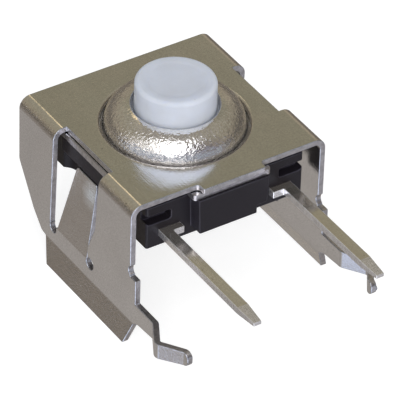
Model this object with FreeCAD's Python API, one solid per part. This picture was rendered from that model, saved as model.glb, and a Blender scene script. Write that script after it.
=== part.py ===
"""Right-angle tactile switch with a folded snap-in bracket."""

import math
import os

import FreeCAD
import Part

# Lengths are in millimetres.
# X runs across the switch, -Y points at the circuit board, +Z is the way the button stands.
# Each piece is drawn about the button axis and moved at the end, so that the
# middle of the switch is over the origin and the feet of the bracket are at Z 0.
# A depth is measured down from the top face of the bracket.

# Bracket sheet and plate
sheet = 0.2
bend_radius = 0.2
bracket_width = 7.2
bracket_height = 5.16
plate_rear = 3.53
plate_front = 3.17
plate_hole_radius = 2.4
board_plane = 3.49
tab_half_width = 1.15
tab_root_radius = 0.12
tab_root_side = 0.4
tab_corner_radius = 0.05

# Outline of a wing, seen from the side
rear_edge_depth = 2.4
heel_y = 2.63
heel_depth = 3.8
toe_y = 2.13
toe_depth = 4.35
fold_depth = 4.38
flange_spread = 0.26
flange_fold_rear = 1.88
flange_fold_front = 3.40
flange_foot_rear = 1.40
flange_foot_front = 3.20
shoulder_depth = 2.64
shoulder_foot_rise = 0.03
shoulder_radius = 0.04
notch_radius = 0.22
notch_y = 3.29
rear_corner_radius = 0.3
toe_radius = 0.15
foot_corner_radius = 0.05

# Opening in a wing and the tongue that stands in it
opening_inset = 0.5
opening_front_top = 1.24
opening_front_low = 0.65
opening_shoulder_depth = 0.35
opening_knee_y = 1.07
opening_knee_depth = 2.2
opening_neck_rise = 0.5
opening_round = 0.5
opening_rear_top = 1.45
opening_rear_depth = 0.3
opening_rear_low = 1.605
tongue_base_depth = 3.7
tongue_base_front = 0.62
tongue_base_rear = 1.18
tongue_tip_front = 0.47
tongue_tip_rear = 0.73
tongue_tip_depth = 1.08
tongue_lean = 0.45
tongue_corner_radius = 0.12
slit_rear_y = 1.42
slit_rear_drop = 0.1
slit_rear_radius = 0.18
slit_front_y = 0.80
slit_front_drop = 0.05
slit_front_radius = 0.21

# Snap-in legs, seen from above
leg_top_depth = 3.55
leg_root_low_depth = 4.25
leg_peak_low_depth = 4.12
leg_tip_low_depth = 4.05
leg_kink_start = 4.52
leg_kink_peak = 5.40
leg_kink_end = 6.22
leg_tip = 6.43
leg_bulge = 0.5
leg_return = 0.56
leg_tip_turn = 0.02
leg_root_length = 0.18
leg_root_radius = 0.3
leg_bend_radius = 0.08
leg_tip_round = 0.48

# Cover
cover_gap = 0.03
cover_half_width = 3.17
cover_rear = 3.43
cover_front = 2.82
cover_tab_half_width = 1.42
cover_tab_front = 3.37
cover_corner_radius = 0.1
dome_radius = 2.27
dome_rise = 0.82
dome_spring_depth = 0.1
locating_hole_radius = 0.3

# Base
base_half_width = 2.9
base_rear = 3.33
base_front = 2.97
base_low_depth = 2.0
base_corner_radius = 0.08
ledge_half_width = 3.15
ledge_half_length = 1.75
ledge_low_depth = 1.0
ledge_corner_radius = 0.1
pocket_half_width = 2.65
pocket_front = 1.6
pocket_rear = 1.7
pocket_corner_radius = 0.5
block_half_width = 1.3
block_draft = 0.05
block_front = 3.47
block_low_depth = 1.72
block_notch_x = 0.88
block_notch_depth = 1.41
block_corner_radius = 0.05
scoop_inner_x = 2.0
scoop_top_depth = 0.75
scoop_low_depth = 1.1
scoop_reach = 0.35
scoop_corner_radius = 0.3
scoop_edge_radius = 0.08
cavity_radius = 2.05
cavity_depth = 1.42
peg_x = 2.5
peg_y = 2.6
peg_clearance = 0.03
gate_radius = 0.6
gate_sink = 0.1

# Terminals
terminal_depth = 1.39
terminal_thickness = 0.25
pin_pitch = 4.5
pin_width = 0.4
pin_reach = 8.27
pin_taper_length = 0.85
pin_tip_inset = 0.06
root_width = 0.8
root_front = 3.22
root_rear = 2.3
root_outer_radius = 0.03
root_inner_radius = 0.05
strap_width = 0.5
strap_root_side = 0.2
strap_root_depth = 0.3
centre_contact_radius = 0.55
ring_inner_radius = 1.45
ring_outer_radius = 1.95
ring_start_angle = -60
ring_end_angle = 190
ring_strap_angle = -45

# Snap disc
disc_radius = 1.85
disc_thickness = 0.06
disc_rise = 0.27

# Button
button_radius = 1.31
button_running_gap = 0.1
button_height = 1.6
button_edge_radius = 0.15
collar_radius = 1.75
collar_low_rise = 0.05
collar_gap = 0.02
nub_radius = 0.6
nub_gap = 0.02

half_width = bracket_width / 2
cover_top_depth = sheet + cover_gap
cover_low_depth = cover_top_depth + sheet
cover_hole_radius = button_radius + button_running_gap
centre_shift = (pin_reach - plate_rear) / 2
dome_foot_radius = cover_top_depth - dome_spring_depth

# How far a cutter runs past a face, and how far joined pieces run into each other
overshoot = 1.0
overlap = 0.1
slight_overlap = 0.02


def level(depth):
    """Height above the feet of a place at this depth under the plate's top face."""
    return bracket_height - depth


def across(x, z):
    return FreeCAD.Vector(x, 0, z)


def sideways(y, z):
    return FreeCAD.Vector(0, y, z)


def plan(x, y):
    return FreeCAD.Vector(x, y, 0)


def corner_marks(before, here, after, radius):
    """Start, middle and end of the arc that rounds a corner."""
    back = (before - here).normalize()
    ahead = (after - here).normalize()
    half_angle = back.getAngle(ahead) / 2
    run = radius / math.tan(half_angle)
    inward = (back + ahead).normalize()
    middle = here + inward * (radius / math.sin(half_angle) - radius)
    return here + back * run, middle, here + ahead * run


def outline(corners, place):
    """Face with straight sides. Each corner is (u, v) or (u, v, radius)."""
    points = [place(corner[0], corner[1]) for corner in corners]
    radii = [corner[2] if len(corner) > 2 else 0 for corner in corners]
    count = len(points)
    marks = []
    for i in range(count):
        if radii[i] > 0:
            marks.append(corner_marks(points[i - 1], points[i], points[(i + 1) % count], radii[i]))
        else:
            marks.append((points[i], points[i], points[i]))
    edges = []
    for i in range(count):
        start, middle, end = marks[i]
        if radii[i] > 0:
            edges.append(Part.Arc(start, middle, end).toShape())
        following = marks[(i + 1) % count][0]
        if end.distanceToPoint(following) > 1e-6:
            edges.append(Part.makeLine(end, following))
    return Part.Face(Part.Wire(edges))


def bent_strip(path, thickness, inner_radius, place):
    """Section of a folded strip, laid on the left of its path, with true bends."""
    points = [FreeCAD.Vector(u, v, 0) for u, v in path]
    path_side = []
    inner_side = []
    for i, point in enumerate(points):
        before = points[i] - points[i - 1] if i > 0 else points[1] - points[0]
        after = points[i + 1] - points[i] if i + 1 < len(points) else before
        before.normalize()
        after.normalize()
        normal = FreeCAD.Vector(-before.y - after.y, before.x + after.x, 0)
        normal = normal / (1 + before.dot(after))
        shifted = point + normal * thickness
        turn = before.x * after.y - before.y * after.x
        if abs(turn) < 1e-9:
            radii = (0, 0)
        elif turn > 0:
            radii = (inner_radius + thickness, inner_radius)
        else:
            radii = (inner_radius, inner_radius + thickness)
        path_side.append((point.x, point.y, radii[0]))
        inner_side.append((shifted.x, shifted.y, radii[1]))
    return outline(path_side + inner_side[::-1], place)


def run_x(face, start, end):
    """Carry a section in the Y-Z plane along X."""
    face.translate(FreeCAD.Vector(start, 0, 0))
    return face.extrude(FreeCAD.Vector(end - start, 0, 0))


def run_y(face, start, end):
    """Carry a section in the X-Z plane along Y."""
    face.translate(FreeCAD.Vector(0, start, 0))
    return face.extrude(FreeCAD.Vector(0, end - start, 0))


def run_z(face, start, end):
    """Carry a plan along Z."""
    face.translate(FreeCAD.Vector(0, 0, start))
    return face.extrude(FreeCAD.Vector(0, 0, end - start))


def upright(radius, x, y, low, high):
    return Part.makeCylinder(radius, high - low, FreeCAD.Vector(x, y, low))


def mirrored(shape):
    return shape.mirror(FreeCAD.Vector(0, 0, 0), FreeCAD.Vector(1, 0, 0))


def turned(edges):
    """Solid of revolution about the button axis from a closed profile."""
    face = Part.Face(Part.Wire(edges))
    return face.revolve(FreeCAD.Vector(0, 0, 0), FreeCAD.Vector(0, 0, 1), 360)


def wing_outline():
    """Side view of plate and wings: sloping heel, flange, shoulder and notch."""
    face = outline(
        [
            (-plate_front, bracket_height),
            (plate_rear, bracket_height),
            (plate_rear, level(rear_edge_depth), rear_corner_radius),
            (heel_y, level(heel_depth), rear_corner_radius),
            (toe_y, level(toe_depth), toe_radius),
            (flange_fold_rear, level(fold_depth)),
            (flange_foot_rear, 0, foot_corner_radius),
            (-flange_foot_front, 0, foot_corner_radius),
            (-flange_fold_front, level(fold_depth)),
            (-board_plane, level(fold_depth - shoulder_foot_rise)),
            (-board_plane, level(shoulder_depth), shoulder_radius),
            (-plate_front, level(shoulder_depth)),
        ],
        sideways,
    )
    return run_x(face, -bracket_width, bracket_width)


def bracket_fold():
    """Plate, two wings and two flanges as one folded section."""
    foot_x = half_width + flange_spread
    slope = flange_spread / level(fold_depth)
    path = [
        (foot_x + slope * overshoot, -overshoot),
        (half_width, level(fold_depth)),
        (half_width, bracket_height),
        (-half_width, bracket_height),
        (-half_width, level(fold_depth)),
        (-foot_x - slope * overshoot, -overshoot),
    ]
    return run_y(bent_strip(path, sheet, bend_radius, across), -board_plane, plate_rear)


def wing_opening():
    """Cut through wing, bend and plate edge beside the tongue."""
    face = outline(
        [
            (-opening_front_top, bracket_height + overshoot),
            (-opening_front_top, level(opening_shoulder_depth), opening_round),
            (-opening_knee_y, level(opening_knee_depth), opening_round),
            (-opening_front_low, level(tongue_base_depth - opening_neck_rise), opening_round),
            (-opening_front_low, level(tongue_base_depth)),
            (opening_rear_low, level(tongue_base_depth)),
            (opening_rear_top, level(opening_rear_depth)),
            (opening_rear_top, bracket_height + overshoot),
        ],
        sideways,
    )
    return run_x(face, half_width - opening_inset, half_width + overshoot)


def tongue():
    """Leaning tongue whose tip holds up the base."""
    path = [
        (half_width, level(fold_depth - overlap)),
        (half_width, level(tongue_base_depth)),
        (half_width - tongue_lean, level(tongue_tip_depth)),
    ]
    sheet_run = run_y(bent_strip(path, sheet, bend_radius, across), -plate_front, plate_rear)
    face = outline(
        [
            (-tongue_base_front, level(fold_depth - overlap)),
            (-tongue_base_front, level(tongue_base_depth)),
            (-tongue_tip_front, level(tongue_tip_depth), tongue_corner_radius),
            (tongue_tip_rear, level(tongue_tip_depth), tongue_corner_radius),
            (tongue_base_rear, level(tongue_base_depth)),
            (tongue_base_rear, level(fold_depth - overlap)),
        ],
        sideways,
    )
    return sheet_run.common(run_x(face, 0, bracket_width))


def slit_end(y, drop, radius):
    """Round end of a slit beside the tongue, this far below its base."""
    start = FreeCAD.Vector(half_width - opening_inset, y, level(tongue_base_depth + drop))
    return Part.makeCylinder(radius, overshoot + opening_inset, start, FreeCAD.Vector(1, 0, 0))


def snap_leg():
    """Kinked leg that snaps in behind the circuit board."""
    peak_x = half_width + leg_bulge
    return_x = peak_x - leg_return
    tip_radius = leg_tip_round * (leg_tip_low_depth - leg_top_depth)
    root_low = level(fold_depth - slight_overlap)
    path = [
        (return_x - leg_tip_turn, -leg_tip),
        (return_x, -leg_kink_end),
        (peak_x, -leg_kink_peak),
        (half_width, -leg_kink_start),
        (half_width, -plate_front),
    ]
    strip = run_z(bent_strip(path, sheet, leg_bend_radius, plan), 0, bracket_height)
    face = outline(
        [
            (-plate_front, level(leg_top_depth)),
            (-plate_front, root_low),
            (-flange_fold_front, root_low),
            (-board_plane - leg_root_length, level(leg_root_low_depth), leg_root_radius),
            (-leg_kink_peak, level(leg_peak_low_depth)),
            (-leg_tip, level(leg_tip_low_depth), tip_radius),
            (-leg_tip, level(leg_top_depth), tip_radius),
        ],
        sideways,
    )
    return strip.common(run_x(face, 0, bracket_width))


def plate_tab():
    """Tab in the middle of the plate's front edge."""
    root_y = -plate_front
    root_half_width = tab_half_width + tab_root_side
    face = outline(
        [
            (root_half_width, root_y + overlap),
            (-root_half_width, root_y + overlap),
            (-root_half_width, root_y),
            (-tab_half_width, root_y, tab_root_radius),
            (-tab_half_width, -board_plane, tab_corner_radius),
            (tab_half_width, -board_plane, tab_corner_radius),
            (tab_half_width, root_y, tab_root_radius),
            (root_half_width, root_y),
        ],
        plan,
    )
    return run_z(face, level(sheet), bracket_height)


def make_bracket():
    body = bracket_fold().common(wing_outline())
    notch_at = FreeCAD.Vector(-bracket_width, -notch_y, level(shoulder_depth - notch_radius))
    body = body.cut(Part.makeCylinder(notch_radius, 2 * bracket_width, notch_at, FreeCAD.Vector(1, 0, 0)))
    body = body.cut(upright(plate_hole_radius, 0, 0, level(sheet) - overlap, bracket_height + overlap))
    opening = wing_opening()
    body = body.cut([opening, mirrored(opening)])
    leg = snap_leg()
    spring = tongue()
    body = body.fuse([plate_tab(), leg, mirrored(leg), spring, mirrored(spring)])
    slits = [
        slit_end(slit_rear_y, slit_rear_drop, slit_rear_radius),
        slit_end(-slit_front_y, slit_front_drop, slit_front_radius),
    ]
    return body.cut(slits + [mirrored(slit) for slit in slits]).removeSplitter()


def quarter_ellipse(inner_x, foot_x, spring_z, top_z):
    """Edge that rises from the foot to the rim of the hole."""
    centre = across(inner_x, spring_z)
    ellipse = Part.Ellipse(across(foot_x, spring_z), across(inner_x, top_z), centre)
    return Part.ArcOfEllipse(ellipse, 0, math.pi / 2).toShape()


def dome_inner_height(radius):
    """Height of the dome's underside at this distance from the axis."""
    share = (radius - cover_hole_radius) / (dome_radius - sheet - cover_hole_radius)
    return level(dome_spring_depth) + (dome_rise - sheet) * math.sqrt(1 - share * share)


def cover_dome():
    """Raised ring around the button, of the same sheet as the cover."""
    spring_z = level(dome_spring_depth)
    top_z = spring_z + dome_rise
    sheet_top = level(cover_top_depth)
    sheet_low = level(cover_low_depth)
    inner_foot = dome_radius - sheet
    fillet_top = across(dome_radius, spring_z)
    fillet_end = across(dome_radius + dome_foot_radius, sheet_top)
    swing = dome_foot_radius * (1 - math.sqrt(0.5))
    fillet_middle = across(dome_radius + swing, sheet_top + swing)
    rim_low = across(cover_hole_radius, top_z - sheet)
    rim_top = across(cover_hole_radius, top_z)
    outer_low = across(dome_radius + dome_foot_radius, sheet_low)
    inner_low = across(inner_foot, sheet_low)
    edges = [
        Part.makeLine(inner_low, across(inner_foot, spring_z)),
        quarter_ellipse(cover_hole_radius, inner_foot, spring_z, top_z - sheet),
        Part.makeLine(rim_low, rim_top),
        quarter_ellipse(cover_hole_radius, dome_radius, spring_z, top_z),
        Part.Arc(fillet_top, fillet_middle, fillet_end).toShape(),
        Part.makeLine(fillet_end, outer_low),
        Part.makeLine(outer_low, inner_low),
    ]
    return turned(edges)


def make_cover():
    round_by = cover_corner_radius
    face = outline(
        [
            (cover_half_width, cover_rear, round_by),
            (-cover_half_width, cover_rear, round_by),
            (-cover_half_width, -cover_front, round_by),
            (-cover_tab_half_width, -cover_front, round_by),
            (-cover_tab_half_width, -cover_tab_front, round_by),
            (cover_tab_half_width, -cover_tab_front, round_by),
            (cover_tab_half_width, -cover_front, round_by),
            (cover_half_width, -cover_front, round_by),
        ],
        plan,
    )
    low = level(cover_low_depth)
    high = level(cover_top_depth)
    body = run_z(face, low, high)
    body = body.cut(upright(dome_radius - sheet / 2, 0, 0, low - overlap, high + overlap))
    body = body.fuse(cover_dome())
    holes = [upright(locating_hole_radius, x, peg_y, low - overlap, high + overlap) for x in (-peg_x, peg_x)]
    return body.cut(holes).removeSplitter()


def base_block():
    """Main block of the base, with its ledges and the block in front."""
    top = level(cover_low_depth)
    low = level(base_low_depth)
    round_by = base_corner_radius
    face = outline(
        [
            (base_half_width, base_rear, round_by),
            (-base_half_width, base_rear, round_by),
            (-base_half_width, -base_front, round_by),
            (base_half_width, -base_front, round_by),
        ],
        plan,
    )
    body = run_z(face, low, top)
    ledge = outline(
        [
            (ledge_half_width, ledge_half_length, ledge_corner_radius),
            (-ledge_half_width, ledge_half_length, ledge_corner_radius),
            (-ledge_half_width, -ledge_half_length, ledge_corner_radius),
            (ledge_half_width, -ledge_half_length, ledge_corner_radius),
        ],
        plan,
    )
    front = outline(
        [
            (block_half_width, top),
            (-block_half_width, top),
            (-block_half_width + block_draft, level(block_low_depth), block_corner_radius),
            (block_notch_x, level(block_low_depth)),
            (block_notch_x, level(block_notch_depth), block_corner_radius),
            (block_half_width - block_draft, level(block_notch_depth), block_corner_radius),
        ],
        across,
    )
    return body.fuse(
        [
            run_z(ledge, level(ledge_low_depth), top),
            run_y(front, -block_front, -base_front + overlap),
        ]
    )


def tongue_pocket():
    """Hollow in the side of the base that clears the tongue."""
    face = outline(
        [
            (half_width, pocket_rear + half_width - pocket_half_width),
            (pocket_half_width, pocket_rear, pocket_corner_radius),
            (pocket_half_width, -pocket_front, pocket_corner_radius),
            (half_width, -pocket_front - half_width + pocket_half_width),
        ],
        plan,
    )
    return run_z(face, level(base_low_depth) - overlap, level(ledge_low_depth))


def terminal_scoop():
    """Scooped slot in the front of the base, above a terminal."""
    outer_x = base_half_width + overlap
    face = outline(
        [
            (scoop_inner_x, level(scoop_top_depth), scoop_edge_radius),
            (scoop_inner_x, level(scoop_low_depth), scoop_edge_radius),
            (outer_x, level(scoop_low_depth), scoop_corner_radius),
            (outer_x, level(scoop_top_depth)),
        ],
        across,
    )
    return run_y(face, -base_front - overlap, -base_front + scoop_reach)


def make_base(terminals):
    pocket = tongue_pocket()
    scoop = terminal_scoop()
    low = level(base_low_depth)
    top = level(cover_low_depth)
    cavity = upright(cavity_radius, 0, 0, level(cavity_depth), top + overlap)
    gate = upright(gate_radius, 0, 0, low - overlap, low + gate_sink)
    body = base_block().cut([pocket, mirrored(pocket), scoop, mirrored(scoop), cavity, gate])
    peg_radius = locating_hole_radius - peg_clearance
    peg_top = level(sheet + peg_clearance)
    pegs = [upright(peg_radius, x, peg_y, top - overlap, peg_top) for x in (-peg_x, peg_x)]
    return body.fuse(pegs).cut(terminals).removeSplitter()


def terminal_slab(face):
    return run_z(face, level(terminal_depth + terminal_thickness), level(terminal_depth))


def terminal_pin():
    """Pin and wider root of the terminal on the right."""
    pin_x = pin_pitch / 2
    outer = pin_x + pin_width / 2
    inner = pin_x - pin_width / 2
    shank = -pin_reach + pin_taper_length
    face = outline(
        [
            (outer, -root_rear),
            (outer - root_width, -root_rear),
            (outer - root_width, -root_front, root_outer_radius),
            (inner, -root_front, root_inner_radius),
            (inner, shank),
            (inner + pin_tip_inset, -pin_reach),
            (outer - pin_tip_inset, -pin_reach),
            (outer, shank),
        ],
        plan,
    )
    top = level(terminal_depth)
    low = level(terminal_depth + terminal_thickness)
    side = outline(
        [
            (-root_rear, top),
            (shank, top),
            (-pin_reach, top - pin_tip_inset),
            (-pin_reach, low + pin_tip_inset),
            (shank, low),
            (-root_rear, low),
        ],
        sideways,
    )
    return terminal_slab(face).common(run_x(side, 0, bracket_width))


def strap(start, end):
    """Strip of terminal sheet between two places in the plan."""
    along = plan(*end) - plan(*start)
    aside = plan(-along.y, along.x).normalize() * (strap_width / 2)
    corners = [plan(*start) + aside, plan(*start) - aside, plan(*end) - aside, plan(*end) + aside]
    return terminal_slab(outline([(corner.x, corner.y) for corner in corners], plan))


def make_terminal_left():
    """Terminal that ends in the contact under the middle of the disc."""
    low = level(terminal_depth + terminal_thickness)
    contact = upright(centre_contact_radius, 0, 0, low, level(terminal_depth))
    root = (-pin_pitch / 2 + strap_root_side, -root_rear - strap_root_depth)
    return mirrored(terminal_pin()).fuse([contact, strap(root, (0, 0))]).removeSplitter()


def make_terminal_right():
    """Terminal that ends in the ring on which the disc stands."""
    low = level(terminal_depth + terminal_thickness)
    high = level(terminal_depth)
    sweep = ring_end_angle - ring_start_angle
    origin = FreeCAD.Vector(0, 0, low)
    up = FreeCAD.Vector(0, 0, 1)
    ring = Part.makeCylinder(ring_outer_radius, high - low, origin, up, sweep)
    ring = ring.cut(Part.makeCylinder(ring_inner_radius, high - low, origin, up))
    ring.rotate(FreeCAD.Vector(0, 0, 0), up, ring_start_angle)
    middle = (ring_inner_radius + ring_outer_radius) / 2
    angle = math.radians(ring_strap_angle)
    root = (pin_pitch / 2 - strap_root_side, -root_rear - strap_root_depth)
    link = strap(root, (middle * math.cos(angle), middle * math.sin(angle)))
    return terminal_pin().fuse([ring, link]).removeSplitter()


def disc_arc(apex_z):
    """Edge of the shallow dome from the axis to the rim."""
    swing = (disc_radius ** 2 + disc_rise ** 2) / (2 * disc_rise)
    half_x = disc_radius / 2
    half_z = apex_z - swing + math.sqrt(swing ** 2 - half_x ** 2)
    return Part.Arc(across(0, apex_z), across(half_x, half_z), across(disc_radius, apex_z - disc_rise))


def make_snap_disc():
    low = level(terminal_depth) + disc_rise
    high = low + disc_thickness
    edges = [
        disc_arc(low).toShape(),
        Part.makeLine(across(disc_radius, low - disc_rise), across(disc_radius, high - disc_rise)),
        disc_arc(high).toShape(),
        Part.makeLine(across(0, high), across(0, low)),
    ]
    return turned(edges)


def make_button():
    disc_top = level(terminal_depth) + disc_rise + disc_thickness
    nub_low = disc_top + nub_gap
    collar_low = bracket_height + collar_low_rise
    collar_top = dome_inner_height(collar_radius) - collar_gap
    top = bracket_height + button_height
    face = outline(
        [
            (0, nub_low),
            (nub_radius, nub_low),
            (nub_radius, collar_low),
            (collar_radius, collar_low),
            (collar_radius, collar_top),
            (button_radius, collar_top),
            (button_radius, top, button_edge_radius),
            (0, top),
        ],
        across,
    )
    return face.revolve(FreeCAD.Vector(0, 0, 0), FreeCAD.Vector(0, 0, 1), 360)


def single_solid(shape):
    """The one closed solid of a finished piece, moved to its place over the origin."""
    solids = shape.Solids
    if len(solids) != 1 or not solids[0].isValid():
        raise ValueError("a piece is not one valid solid")
    solid = solids[0]
    solid.translate(FreeCAD.Vector(0, centre_shift, 0))
    return solid


def main():
    terminal_left = make_terminal_left()
    terminal_right = make_terminal_right()
    pieces = {
        "bracket": make_bracket(),
        "cover": make_cover(),
        "base": make_base([terminal_left, terminal_right]),
        "terminal_left": terminal_left,
        "terminal_right": terminal_right,
        "snap_disc": make_snap_disc(),
        "button": make_button(),
    }
    os.makedirs("parts", exist_ok=True)
    for name, shape in pieces.items():
        single_solid(shape).exportStep("parts/" + name + ".step")


main()
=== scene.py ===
"""Looks of a right-angle tactile switch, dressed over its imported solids.

Shapes are worked out in millimetres and handed over in metres.
"""

import logging
import math
from dataclasses import dataclass
from enum import Enum
from typing import Callable, Iterable

import bmesh
import bpy
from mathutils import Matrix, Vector, noise
from mathutils.bvhtree import BVHTree


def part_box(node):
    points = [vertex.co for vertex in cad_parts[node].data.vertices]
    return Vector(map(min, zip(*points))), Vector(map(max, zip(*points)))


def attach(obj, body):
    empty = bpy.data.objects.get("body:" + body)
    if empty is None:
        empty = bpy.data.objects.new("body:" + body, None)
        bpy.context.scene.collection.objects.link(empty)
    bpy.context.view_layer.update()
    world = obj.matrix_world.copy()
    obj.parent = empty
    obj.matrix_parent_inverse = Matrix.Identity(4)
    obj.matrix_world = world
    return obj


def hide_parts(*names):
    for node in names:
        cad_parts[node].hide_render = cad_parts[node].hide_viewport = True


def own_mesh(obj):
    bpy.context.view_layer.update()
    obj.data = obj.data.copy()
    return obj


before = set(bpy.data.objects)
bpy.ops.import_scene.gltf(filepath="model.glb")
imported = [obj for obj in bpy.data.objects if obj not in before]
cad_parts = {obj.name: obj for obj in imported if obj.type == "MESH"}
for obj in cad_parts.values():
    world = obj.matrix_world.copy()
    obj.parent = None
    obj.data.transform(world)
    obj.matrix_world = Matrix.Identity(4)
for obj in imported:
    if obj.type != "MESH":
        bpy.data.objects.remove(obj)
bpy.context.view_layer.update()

LOG = logging.getLogger("tactile_switch")
Colour = tuple[float, float, float]
Span = tuple[float, float]
Stops = tuple[tuple[float, Colour], ...]
Profile = list[tuple[float, float]]
BMesh = bmesh.types.BMesh
BMVert = bmesh.types.BMVert
Material = bpy.types.Material
Node = bpy.types.Node
NodeTree = bpy.types.NodeTree
Object = bpy.types.Object
Socket = bpy.types.NodeSocket

# One millimetre, in metres
MM = 0.001
# Depth of a bump with a relief of 1, in metres
RELIEF = 0.00001
# Where most values of a noise lie
NOISE_SPAN: Span = (0.3, 0.7)
# Name of the face layer that marks rounded edges
ROUNDING = "rounding"
# An edge that turns by more is sharp
SHARP_TURN = math.radians(50)
# Faces round a corner that turn by less are shaded as one
SMOOTH_TURN = math.radians(30)
# Faces that turn by less are one flat
FLAT_TURN = math.radians(0.2)
# Vertices nearer than this are one, in millimetres
WELD = 0.0002
# Places nearer than this are the same, in millimetres
NEAR = 0.002
# A face narrower than this share of a rounding is a ledge, and isn't rounded
LEDGE_SHARE = 0.8


class Body(Enum):
    """The bodies that pieces ride on."""

    HOUSING = "housing"
    PLUNGER = "plunger"


class Slot(Enum):
    """The record's material slots."""

    BRACKET = "bracket_steel"
    COVER = "cover_steel"
    BASE = "base_plastic"
    TERMINAL = "terminal_metal"
    DISC = "disc_steel"
    BUTTON = "button_plastic"


def opaque(colour: object) -> object:
    """Give a colour its alpha, and leave anything else as it is."""
    return (*colour, 1.0) if isinstance(colour, tuple) and len(colour) == 3 else colour


@dataclass
class Graph:
    """A small pen for drawing a node tree."""

    tree: NodeTree

    def __post_init__(self) -> None:
        """Start with an empty tree."""
        self.tree.nodes.clear()

    def add(self, kind: str, values: dict | None = None, **settings: object) -> Node:
        """Add one node.

        Args:
            kind: Blender's node type name.
            values: Input socket name or index to a value or to another socket.
            settings: Attributes of the node itself.

        Returns:
            The new node.
        """
        made = self.tree.nodes.new(kind)
        for key, value in settings.items():
            setattr(made, key, value)
        for key, value in (values or {}).items():
            if isinstance(value, Socket):
                self.tree.links.new(value, made.inputs[key])
            else:
                made.inputs[key].default_value = value
        return made

    def group(self, tree: NodeTree, **values: float) -> Node:
        """Place a node group with its own input values."""
        return self.add("ShaderNodeGroup", values, node_tree=tree)

    def noise(self, place: Socket, scale: float | Socket, detail: float, **others: float) -> Socket:
        """Place a noise and give its value."""
        values = {"Vector": place, "Scale": scale, "Detail": detail, **others}
        return self.add("ShaderNodeTexNoise", values).outputs[0]

    def link(self, source: Socket, target: Socket) -> None:
        """Join two sockets."""
        self.tree.links.new(source, target)

    def fit(self, value: Socket, low: float, high: float, to_low: float = 0.0,
            to_high: float = 1.0) -> Socket:
        """Carry a value from one range to another, held at the ends.

        Args:
            value: The socket to read.
            low: Where the first range starts.
            high: Where the first range ends.
            to_low: Value at the start.
            to_high: Value at the end.

        Returns:
            The carried value's socket.
        """
        made = self.add("ShaderNodeMapRange", {
            "Value": value, "From Min": low, "From Max": high, "To Min": to_low, "To Max": to_high})
        return made.outputs["Result"]

    def blend(self, share: Socket | float, first: object, second: object, mode: str = "MIX") -> Socket:
        """Mix two colours.

        Args:
            share: How much of the second colour.
            first: Colour or colour socket.
            second: Colour or colour socket.
            mode: Blend type.

        Returns:
            The mixed colour's socket.
        """
        made = self.add("ShaderNodeMix", {0: share, 6: opaque(first), 7: opaque(second)},
                        data_type="RGBA", blend_type=mode)
        return made.outputs[2]

    def sums(self, operation: str, first: object, second: object = 0.0) -> Socket:
        """Work out one sum with a Math node."""
        return self.add("ShaderNodeMath", {0: first, 1: second}, operation=operation).outputs[0]

    def band(self, value: Socket, span: Span, soft: float) -> Socket:
        """Mask that is one between two values.

        Args:
            value: The socket to read.
            span: Where the band starts and ends.
            soft: Width of the slope outside each end.

        Returns:
            The mask's socket.
        """
        low, high = span
        rise = self.fit(value, low - soft, low)
        return self.sums("MULTIPLY", rise, self.fit(value, high + soft, high))

    def ramp(self, value: Socket, stops: Stops) -> Socket:
        """Colours along a value from -1 to 1.

        Args:
            value: The socket to read.
            stops: Each value with its colour, in rising order.

        Returns:
            The colour's socket.
        """
        made = self.add("ShaderNodeValToRGB", {0: self.fit(value, -1.0, 1.0)})
        elements = made.color_ramp.elements
        for index, (at, colour) in enumerate(stops):
            element = elements[index] if index < 2 else elements.new(1.0)
            element.position = (at + 1.0) / 2.0
            element.color = opaque(colour)
        return made.outputs[0]


def make_group(name: str, inputs: dict[str, float], outputs: Iterable[str],
               draw: Callable[[Graph, Node], dict[str, Socket]]) -> NodeTree:
    """Build a shader node group with named sockets.

    Args:
        name: The group's name.
        inputs: Input name to its default value.
        outputs: Names of the value outputs.
        draw: Draws the inside and returns a socket for each output.

    Returns:
        The node group.
    """
    tree = bpy.data.node_groups.new(name, "ShaderNodeTree")
    for key, default in inputs.items():
        socket = tree.interface.new_socket(name=key, in_out="INPUT", socket_type="NodeSocketFloat")
        socket.default_value = default
    for key in outputs:
        tree.interface.new_socket(name=key, in_out="OUTPUT", socket_type="NodeSocketFloat")
    pen = Graph(tree)
    entry = pen.add("NodeGroupInput")
    leave = pen.add("NodeGroupOutput")
    for key, socket in draw(pen, entry).items():
        pen.link(socket, leave.inputs[key])
    return tree


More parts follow.
